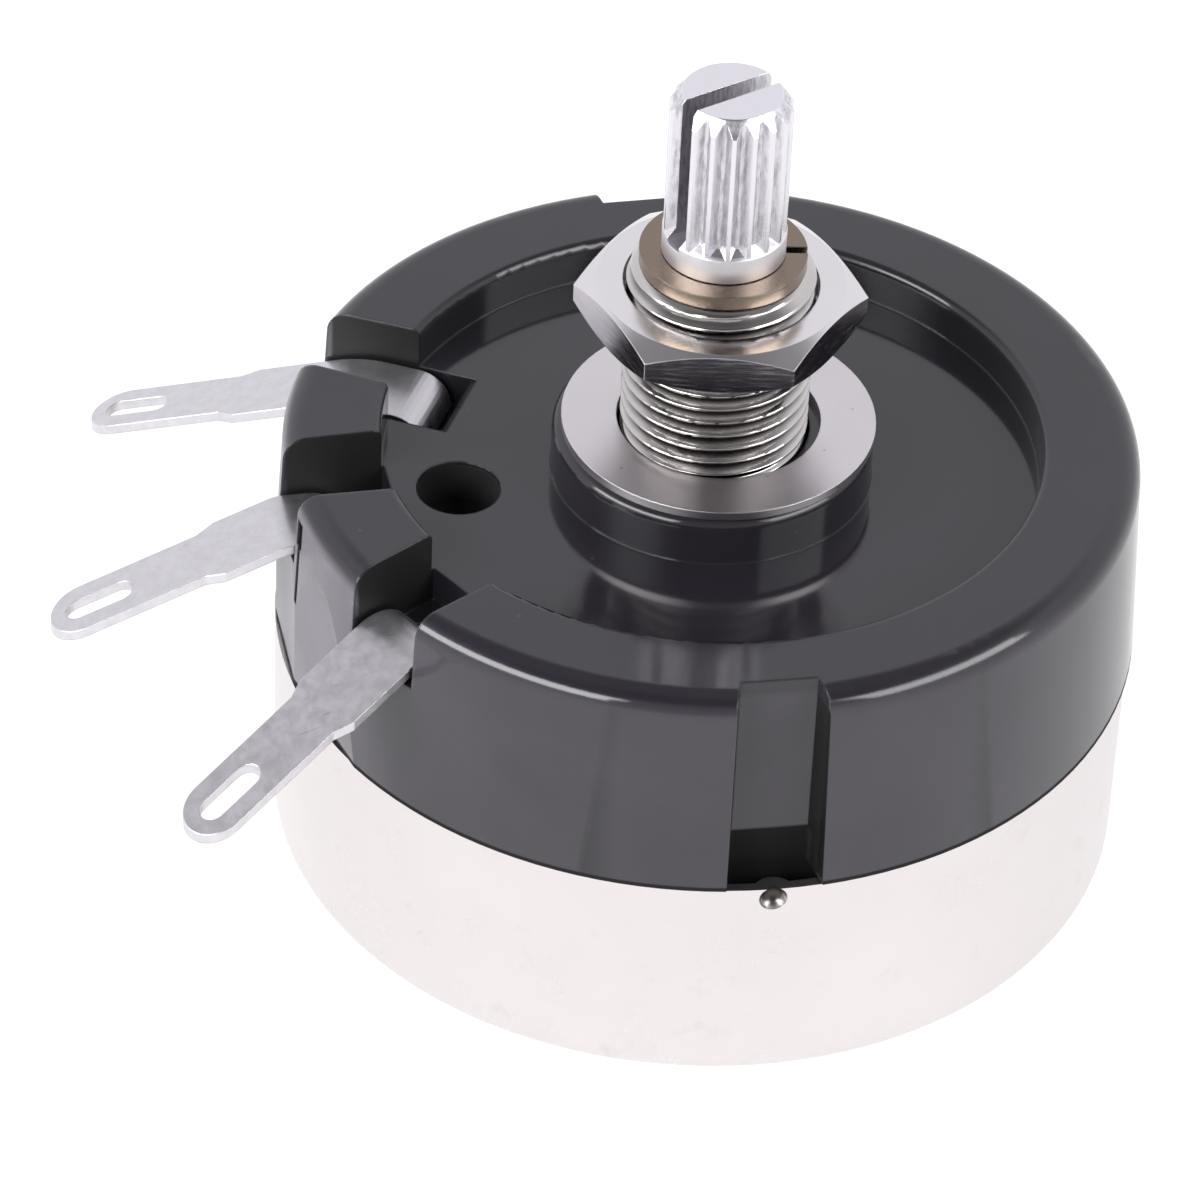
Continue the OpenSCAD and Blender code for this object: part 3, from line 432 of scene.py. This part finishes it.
# Depth of the groove at the point
risen = put(cutting, "ShaderNodeMath", {0: height.outputs[0], 1: given["Start"]}, operation="SUBTRACT")
climbed = put(cutting, "ShaderNodeMath", {0: risen.outputs[0], 1: given["Pitch"]}, operation="DIVIDE")
phase = put(cutting, "ShaderNodeMath", {0: climbed.outputs[0], 1: turn.outputs[0]}, operation="SUBTRACT")
wave = put(cutting, "ShaderNodeMath", {0: phase.outputs[0], 1: 0.5}, operation="PINGPONG")
groove = put(cutting, "ShaderNodeMapRange", {"Value": wave.outputs[0], "From Min": 0.05, "From Max": 0.45},
             interpolation_type="LINEAR")
fade_in = put(cutting, "ShaderNodeMapRange", {"Value": risen.outputs[0], "From Max": given["Fade"]},
              interpolation_type="SMOOTHSTEP")
depth = put(cutting, "ShaderNodeMath", {0: groove.outputs[0], 1: given["Depth"]}, operation="MULTIPLY")
depth = put(cutting, "ShaderNodeMath", {0: depth.outputs[0], 1: fade_in.outputs[0]}, operation="MULTIPLY")
grooved = put(cutting, "ShaderNodeMath", {0: given["Radius"], 1: depth.outputs[0]}, operation="SUBTRACT")
# Radius of the rounded end at the point, which is an arc from the crown's start upwards
above = put(cutting, "ShaderNodeMath", {0: height.outputs[0], 1: given["Crown Start"]}, operation="SUBTRACT")
above = put(cutting, "ShaderNodeMath", {0: above.outputs[0], 1: 0.0}, operation="MAXIMUM")
upright_square = put(cutting, "ShaderNodeMath", {0: above.outputs[0], 1: above.outputs[0]},
                     operation="MULTIPLY")
crown_square = put(cutting, "ShaderNodeMath", {0: given["Crown"], 1: given["Crown"]}, operation="MULTIPLY")
level_square = put(cutting, "ShaderNodeMath", {0: crown_square.outputs[0], 1: upright_square.outputs[0]},
                   operation="SUBTRACT")
level_square = put(cutting, "ShaderNodeMath", {0: level_square.outputs[0], 1: 0.0}, operation="MAXIMUM")
outward = put(cutting, "ShaderNodeMath", {0: level_square.outputs[0]}, operation="SQRT")
crown_axis = put(cutting, "ShaderNodeMath", {0: given["Radius"], 1: given["Crown"]}, operation="SUBTRACT")
rounded = put(cutting, "ShaderNodeMath", {0: crown_axis.outputs[0], 1: outward.outputs[0]}, operation="ADD")
# The smaller radius holds, and the point goes there
radius = put(cutting, "ShaderNodeMath", {0: grooved.outputs[0], 1: rounded.outputs[0]}, operation="MINIMUM")
angle = put(cutting, "ShaderNodeMath", {0: turn.outputs[0], 1: math.tau}, operation="MULTIPLY")
places = []
for direction in ("COSINE", "SINE"):
    share = put(cutting, "ShaderNodeMath", {0: angle.outputs[0]}, operation=direction)
    places.append(put(cutting, "ShaderNodeMath", {0: radius.outputs[0], 1: share.outputs[0]},
                      operation="MULTIPLY"))
spot = put(cutting, "ShaderNodeCombineXYZ", {0: places[0].outputs[0], 1: places[1].outputs[0],
                                             2: height.outputs[0]})
rolled = put(cutting, "GeometryNodeSetPosition", {"Geometry": sheet.outputs["Mesh"],
                                                  "Position": spot.outputs[0]})
joined = put(cutting, "GeometryNodeJoinGeometry")
cutting.links.new(given["Geometry"], joined.inputs[0])
cutting.links.new(rolled.outputs[0], joined.inputs[0])
merged = put(cutting, "GeometryNodeMergeByDistance", {"Geometry": joined.outputs[0], "Distance": touching})
real = put(cutting, "GeometryNodeRealizeInstances", {"Geometry": merged.outputs[0]})
inked = put(cutting, "GeometryNodeSetMaterial", {"Geometry": real.outputs[0], "Material": given["Finish"]})
put(cutting, "NodeGroupOutput", {"Geometry": inked.outputs[0]})

# Bright plate with turning lines 0.07 mm apart round the axis, clouds of 1.4 mm, and the roots of the
# thread painted darker, painted shade in the grooves
nickel_bright, tree, place = finish_of("bright_nickel_on_turned_brass")
lathe = put(tree, "ShaderNodeMapping", {"Vector": place, "Scale": (0.05, 0.05, 1.0)})
line = put(tree, "ShaderNodeTexNoise", {"Vector": lathe.outputs[0], "Scale": 14000.0, "Detail": 3.0})
cloud = put(tree, "ShaderNodeTexNoise", {"Vector": place, "Scale": 700.0, "Detail": 4.0})
metal = put(tree, "ShaderNodeMix", {0: cloud.outputs["Fac"], 6: tone("bbb8b6"), 7: tone("d2cfcd")},
            data_type="RGBA")
apart = put(tree, "ShaderNodeSeparateXYZ", {0: place})
flat = put(tree, "ShaderNodeVectorMath", {0: place, 1: (1, 1, 0)}, operation="MULTIPLY")
reach = put(tree, "ShaderNodeVectorMath", {0: flat.outputs[0]}, operation="LENGTH").outputs["Value"]
root = put(tree, "ShaderNodeMapRange", {"Value": reach, "From Min": thread_r - 0.00012,
                                        "From Max": thread_r - 0.8 * thread_depth})
below = put(tree, "ShaderNodeMapRange", {"Value": apart.outputs[2], "From Min": crown_z + 0.0004,
                                         "From Max": crown_z + 0.0002})
painted_root_shade = put(tree, "ShaderNodeMath", {0: root.outputs[0], 1: below.outputs[0]}, operation="MULTIPLY")
metal = put(tree, "ShaderNodeMix", {0: painted_root_shade.outputs[0], 6: metal.outputs[2], 7: tone("55514f")},
            data_type="RGBA")
satin = put(tree, "ShaderNodeMapRange", {"Value": cloud.outputs["Fac"], "From Min": 0.3, "From Max": 0.7,
                                         "To Min": 0.10, "To Max": 0.22})
marks = put(tree, "ShaderNodeBump", {"Height": line.outputs["Fac"], "Distance": 0.0000008, "Strength": 0.4})
metal_skin(tree, metal, satin, marks)

thread = blank.modifiers.new("cut_thread", "NODES")
thread.node_group = cutting
for item in face.items_tree:
    if item.in_out == "INPUT" and item.name == "Finish":
        thread[item.identifier] = nickel_bright
cut_mesh = bpy.data.meshes.new_from_object(blank.evaluated_get(bpy.context.evaluated_depsgraph_get()))
blank.modifiers.clear()
bpy.data.objects.remove(blank)
smooth = bmesh.new()
smooth.from_mesh(cut_mesh)
bmesh.ops.remove_doubles(smooth, verts=smooth.verts, dist=touching)
bmesh.ops.recalc_face_normals(smooth, faces=smooth.faces)
for patch_face in smooth.faces:
    patch_face.smooth = True
for edge in smooth.edges:
    if len(edge.link_faces) == 2 and edge.calc_face_angle(0) > math.radians(50):
        edge.smooth = False
smooth.to_mesh(cut_mesh)
smooth.free()
bush = bpy.data.objects.new("bush_with_thread", cut_mesh)
scene.collection.objects.link(bush)
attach(bush, "housing")
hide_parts("threaded_bush")


# Flat washer and hexagon nut
# Washer stamped from plated steel strip, satin, with rolling lines in one direction. Nut turned and milled
# from steel bar and plated: its faces show fine turning rings, and its flats the fine lines of the cutter.
washer_steel, tree, place = finish_of("plated_steel_strip_satin")
# Rolling lines 0.14 mm apart, clouds of 3 mm in the plating, and small nicks some 1.6 mm apart
roll_lines = put(tree, "ShaderNodeMapping", {"Vector": place, "Scale": (0.05, 1.0, 1.0),
                                             "Rotation": (0, 0, math.radians(25))})
line = put(tree, "ShaderNodeTexNoise", {"Vector": roll_lines.outputs[0], "Scale": 7000.0, "Detail": 3.0})
cloud = put(tree, "ShaderNodeTexNoise", {"Vector": place, "Scale": 300.0, "Detail": 4.0})
scuff = put(tree, "ShaderNodeTexVoronoi", {"Vector": place, "Scale": 620.0})
nick = put(tree, "ShaderNodeMapRange", {"Value": scuff.outputs["Distance"], "From Min": 0.07,
                                        "From Max": 0.04, "To Max": 0.5})
metal = put(tree, "ShaderNodeMix", {0: cloud.outputs["Fac"], 6: tone("d2ced0"), 7: tone("e2dee1")},
            data_type="RGBA")
metal = put(tree, "ShaderNodeMix", {0: nick.outputs[0], 6: metal.outputs[2], 7: tone("948f8d")},
            data_type="RGBA")
satin = put(tree, "ShaderNodeMapRange", {"Value": cloud.outputs["Fac"], "From Min": 0.3, "From Max": 0.7,
                                         "To Min": 0.26, "To Max": 0.38})
edge_round = put(tree, "ShaderNodeBevel", {"Radius": 0.00008}, samples=4)
marks = put(tree, "ShaderNodeBump", {"Height": line.outputs["Fac"], "Distance": 0.0000018, "Strength": 0.6,
                                     "Normal": edge_round.outputs[0]})
metal_skin(tree, metal, satin, marks)
dress(["flat_washer"], washer_steel)

nut_plate, tree, place = finish_of("plated_turned_steel")
flat = put(tree, "ShaderNodeVectorMath", {0: place, 1: (1, 1, 0)}, operation="MULTIPLY")
reach = put(tree, "ShaderNodeVectorMath", {0: flat.outputs[0]}, operation="LENGTH").outputs["Value"]
# Turning rings on the faces are 0.06 mm apart, and the cutter's lines on the flats run level at 0.1 mm
tool_path = put(tree, "ShaderNodeMath", {0: reach, 1: 16000.0}, operation="MULTIPLY")
ring = put(tree, "ShaderNodeTexNoise", {"W": tool_path.outputs[0], "Scale": 1.0, "Detail": 2.0},
           noise_dimensions="1D")
mill = put(tree, "ShaderNodeMapping", {"Vector": place, "Scale": (0.07, 0.07, 1.0)})
line = put(tree, "ShaderNodeTexNoise", {"Vector": mill.outputs[0], "Scale": 9000.0, "Detail": 4.0})
up = put(tree, "ShaderNodeSeparateXYZ", {0: put(tree, "ShaderNodeNewGeometry").outputs["Normal"]}).outputs[2]
level_face = put(tree, "ShaderNodeMath", {0: up, 1: 0.9}, operation="GREATER_THAN")
relief = put(tree, "ShaderNodeMix", {0: level_face.outputs[0], 2: line.outputs["Fac"],
                                     3: ring.outputs["Fac"]}, data_type="FLOAT")
cloud = put(tree, "ShaderNodeTexNoise", {"Vector": place, "Scale": 420.0, "Detail": 4.0})
metal = put(tree, "ShaderNodeMix", {0: cloud.outputs["Fac"], 6: tone("dad7d8"), 7: tone("e6e3e5")},
            data_type="RGBA")
satin = put(tree, "ShaderNodeMapRange", {"Value": cloud.outputs["Fac"], "From Min": 0.3, "From Max": 0.7,
                                         "To Min": 0.14, "To Max": 0.24})
upright_face = put(tree, "ShaderNodeMath", {0: up, 1: 0.2}, operation="LESS_THAN")
scraped = put(tree, "ShaderNodeMapRange", {"Value": line.outputs["Fac"], "From Min": 0.50, "From Max": 0.74,
                                           "To Min": 0.12, "To Max": 0.24})
satin = put(tree, "ShaderNodeMix", {0: upright_face.outputs[0], 2: satin.outputs[0], 3: scraped.outputs[0]},
            data_type="FLOAT")
edge_round = put(tree, "ShaderNodeBevel", {"Radius": 0.00007}, samples=4)
marks = put(tree, "ShaderNodeBump", {"Height": relief.outputs[0], "Distance": 0.0000022, "Strength": 0.7,
                                     "Normal": edge_round.outputs[0]})
metal_skin(tree, metal, satin, marks)
dress(["hex_nut"], nut_plate)


# Shaft
# Turned from aluminium rod, with its splines rolled in, so the crests are burnished bright and the grooves
# are rough and streaked. The collar and the end face keep fine turning rings.
collar_top_z = 0.0356
spline_foot_z = 0.0359
end_face_z = 0.04312
crest_r = 0.00288

aluminium, tree, place = finish_of("turned_and_rolled_aluminium")
apart = put(tree, "ShaderNodeSeparateXYZ", {0: place})
flat = put(tree, "ShaderNodeVectorMath", {0: place, 1: (1, 1, 0)}, operation="MULTIPLY")
reach = put(tree, "ShaderNodeVectorMath", {0: flat.outputs[0]}, operation="LENGTH").outputs["Value"]
splined = put(tree, "ShaderNodeMapRange", {"Value": apart.outputs[2], "From Min": spline_foot_z,
                                           "From Max": spline_foot_z + 0.0004})
deep = put(tree, "ShaderNodeMapRange", {"Value": reach, "From Min": crest_r, "From Max": crest_r - 0.00016})
below_end = put(tree, "ShaderNodeMapRange", {"Value": apart.outputs[2], "From Min": end_face_z,
                                             "From Max": end_face_z - 0.00004})
torn = put(tree, "ShaderNodeMath", {0: splined.outputs[0], 1: deep.outputs[0]}, operation="MULTIPLY")
torn = put(tree, "ShaderNodeMath", {0: torn.outputs[0], 1: below_end.outputs[0]}, operation="MULTIPLY")
# Streaks 0.2 mm wide and nearly 1 mm long in the grooves, and turning rings 0.08 mm apart elsewhere
streak_map = put(tree, "ShaderNodeMapping", {"Vector": place, "Scale": (1.0, 1.0, 0.22)})
streak = put(tree, "ShaderNodeTexNoise", {"Vector": streak_map.outputs[0], "Scale": 5200.0, "Detail": 4.0,
                                          "Roughness": 0.62})
turned_map = put(tree, "ShaderNodeMapping", {"Vector": place, "Scale": (0.05, 0.05, 1.0)})
rings = put(tree, "ShaderNodeTexNoise", {"Vector": turned_map.outputs[0], "Scale": 12000.0, "Detail": 2.0})
# The streaks in the grooves are coloured darker: real streaks, and painted shade in the grooves
pits = put(tree, "ShaderNodeMapRange", {"Value": streak.outputs["Fac"], "From Min": 0.42, "From Max": 0.62})
streaks_and_shade = put(tree, "ShaderNodeMath", {0: pits.outputs[0], 1: torn.outputs[0]}, operation="MULTIPLY")
metal = put(tree, "ShaderNodeMix", {0: streaks_and_shade.outputs[0], 6: tone("e4e2e7"), 7: tone("bdbbc1")},
            data_type="RGBA")
collar = put(tree, "ShaderNodeMapRange", {"Value": apart.outputs[2], "From Min": collar_top_z,
                                          "From Max": collar_top_z - 0.0002, "To Min": 0.20, "To Max": 0.42})
satin = put(tree, "ShaderNodeMix", {0: torn.outputs[0], 2: collar.outputs[0], 3: 0.34}, data_type="FLOAT")
relief = put(tree, "ShaderNodeMix", {0: torn.outputs[0], 2: rings.outputs["Fac"], 3: streak.outputs["Fac"]},
             data_type="FLOAT")
lift = put(tree, "ShaderNodeMix", {0: torn.outputs[0], 2: 0.0000015, 3: 0.000018}, data_type="FLOAT")
edge_round = put(tree, "ShaderNodeBevel", {"Radius": 0.00006}, samples=4)
marks = put(tree, "ShaderNodeBump", {"Height": relief.outputs[0], "Distance": lift.outputs[0],
                                     "Strength": 0.8, "Normal": edge_round.outputs[0]})
metal_skin(tree, metal, satin, marks)
dress(["shaft"], aluminium)


# Retaining clip
# Split ring stamped from phosphor bronze and sprung into the shaft's groove. It stays unplated, so it is
# warm and slightly tarnished beside the nickel.
bronze, tree, place = finish_of("stamped_phosphor_bronze")
# Tarnish in clouds of 1 mm
cloud = put(tree, "ShaderNodeTexNoise", {"Vector": place, "Scale": 900.0, "Detail": 5.0})
metal = put(tree, "ShaderNodeMix", {0: cloud.outputs["Fac"], 6: tone("7b6e62"), 7: tone("938677")},
            data_type="RGBA")
satin = put(tree, "ShaderNodeMapRange", {"Value": cloud.outputs["Fac"], "From Min": 0.3, "From Max": 0.7,
                                         "To Min": 0.18, "To Max": 0.34})
edge_round = put(tree, "ShaderNodeBevel", {"Radius": 0.0001}, samples=4)
marks = put(tree, "ShaderNodeBump", {"Height": cloud.outputs["Fac"], "Distance": 0.000004, "Strength": 0.5,
                                     "Normal": edge_round.outputs[0]})
metal_skin(tree, metal, satin, marks)
dress(["retaining_clip"], bronze)


# Solder lugs
# Blanked from brass strip, bent and tinned in the pot. The tin has flowed into pale and grey patches with
# small wrinkles, and handling has scored it in places.
tinned, tree, place = finish_of("tinned_brass_strip")
# Patches of 0.7 mm, wrinkles of 0.4 mm and scored lines 0.3 mm apart
patches = put(tree, "ShaderNodeTexNoise", {"Vector": place, "Scale": 1500.0, "Detail": 6.0, "Roughness": 0.7,
                                           "Distortion": 0.2})
wrinkle = put(tree, "ShaderNodeTexNoise", {"Vector": place, "Scale": 2600.0, "Detail": 4.0, "Roughness": 0.6})
scratch_map = put(tree, "ShaderNodeMapping", {"Vector": place, "Scale": (0.12, 1.0, 0.3),
                                              "Rotation": (0, 0, math.radians(30))})
scratch = put(tree, "ShaderNodeTexNoise", {"Vector": scratch_map.outputs[0], "Scale": 3400.0, "Detail": 2.0})
scored = put(tree, "ShaderNodeMapRange", {"Value": scratch.outputs["Fac"], "From Min": 0.70, "From Max": 0.78,
                                          "To Max": 0.35})
spread = put(tree, "ShaderNodeMapRange", {"Value": patches.outputs["Fac"], "From Min": 0.38,
                                          "From Max": 0.62})
metal = put(tree, "ShaderNodeMix", {0: spread.outputs[0], 6: tone("d2d0d4"), 7: tone("dddbdf")},
            data_type="RGBA")
metal = put(tree, "ShaderNodeMix", {0: scored.outputs[0], 6: metal.outputs[2], 7: tone("8f8d92")},
            data_type="RGBA")
satin = put(tree, "ShaderNodeMapRange", {"Value": patches.outputs["Fac"], "From Min": 0.35, "From Max": 0.65,
                                         "To Min": 0.33, "To Max": 0.42})
edge_round = put(tree, "ShaderNodeBevel", {"Radius": 0.00009}, samples=4)
marks = put(tree, "ShaderNodeBump", {"Height": wrinkle.outputs["Fac"], "Distance": 0.000004, "Strength": 0.5,
                                     "Normal": edge_round.outputs[0]})
metal_skin(tree, metal, satin, marks)
dress(["end_lug_back", "wiper_lug", "end_lug_front"], tinned)


# Brass inside the can
# Collector, springs, clamps, rivets and thrust washer are stamped or turned brass, left bare. They are
# shut in by the body and the can, and carry a light even tarnish.
bare_brass, tree, place = finish_of("bare_brass_strip")
# Tarnish in clouds of 2 mm
cloud = put(tree, "ShaderNodeTexNoise", {"Vector": place, "Scale": 500.0, "Detail": 4.0})
metal = put(tree, "ShaderNodeMix", {0: cloud.outputs["Fac"], 6: tone("c8a45c"), 7: tone("dcbf7e")},
            data_type="RGBA")
satin = put(tree, "ShaderNodeMapRange", {"Value": cloud.outputs["Fac"], "To Min": 0.20, "To Max": 0.40})
strip = put(tree, "ShaderNodeBsdfPrincipled", {
    "Base Color": metal.outputs[2], "Metallic": 1.0, "Roughness": satin.outputs[0]})
put(tree, "ShaderNodeOutputMaterial", {"Surface": strip.outputs[0]})
dress(["thrust_washer", "wiper_arm", "contact_spring", "rotor_rivets", "collector_ring", "end_clamp_back",
       "end_clamp_front"], bare_brass)


# Insulation and track inside the can
# Brown phenolic hub, pressed-fibre former and disc, a metal-loaded carbon brush, and the winding of
# oxidised resistance wire at 0.25 mm pitch.
def dull_solid(name, dark, pale, grain_per_m, low_gloss, high_gloss, metallic=0.0):
    """A plain mottled material for the shut-in pieces."""
    made, tree, place = finish_of(name)
    fleck = put(tree, "ShaderNodeTexNoise", {"Vector": place, "Scale": grain_per_m, "Detail": 5.0})
    colour = put(tree, "ShaderNodeMix", {0: fleck.outputs["Fac"], 6: tone(dark), 7: tone(pale)},
                 data_type="RGBA")
    rough = put(tree, "ShaderNodeMapRange", {"Value": fleck.outputs["Fac"], "To Min": low_gloss,
                                             "To Max": high_gloss})
    relief = put(tree, "ShaderNodeBump", {"Height": fleck.outputs["Fac"], "Distance": 0.00001,
                                          "Strength": 0.5})
    solid = put(tree, "ShaderNodeBsdfPrincipled", {
        "Base Color": colour.outputs[2], "Metallic": metallic, "Roughness": rough.outputs[0],
        "Normal": relief.outputs[0]})
    put(tree, "ShaderNodeOutputMaterial", {"Surface": solid.outputs[0]})
    return made


dress(["rotor_hub"], dull_solid("brown_phenolic_moulded", "4a2c1c", "5c3826", 700.0, 0.35, 0.5))
dress(["element_former", "insulating_disc"],
      dull_solid("pressed_fibre", "86653f", "a1805a", 1500.0, 0.6, 0.8))
dress(["contact_brush"], dull_solid("metal_loaded_carbon", "2c2b2b", "4a4744", 2500.0, 0.4, 0.6, 0.5))

track_r = 0.017
wire_pitch = 0.00025
wire_turns = round(math.tau * track_r / wire_pitch)

wire, tree, place = finish_of("oxidised_resistance_wire")
apart = put(tree, "ShaderNodeSeparateXYZ", {0: place})
sweep = put(tree, "ShaderNodeMath", {0: apart.outputs[1], 1: apart.outputs[0]}, operation="ARCTAN2")
# As many turns as would go on the full circle of the track
turns = put(tree, "ShaderNodeMath", {0: sweep.outputs[0], 1: wire_turns}, operation="MULTIPLY")
# The colour runs pale on each turn's crest and dark between turns, painted shading of the round wire
round_wire = put(tree, "ShaderNodeMath", {0: turns.outputs[0]}, operation="COSINE")
metal = put(tree, "ShaderNodeMapRange", {"Value": round_wire.outputs[0], "From Min": -1.0, "From Max": 1.0})
colour = put(tree, "ShaderNodeMix", {0: metal.outputs[0], 6: tone("4b4238"), 7: tone("a0968a")},
             data_type="RGBA")
relief = put(tree, "ShaderNodeBump", {"Height": metal.outputs[0], "Distance": 0.00008, "Strength": 1.0})
wound = put(tree, "ShaderNodeBsdfPrincipled", {
    "Base Color": colour.outputs[2], "Metallic": 0.9, "Roughness": 0.38, "Normal": relief.outputs[0]})
put(tree, "ShaderNodeOutputMaterial", {"Surface": wound.outputs[0]})
dress(["resistance_winding"], wire)
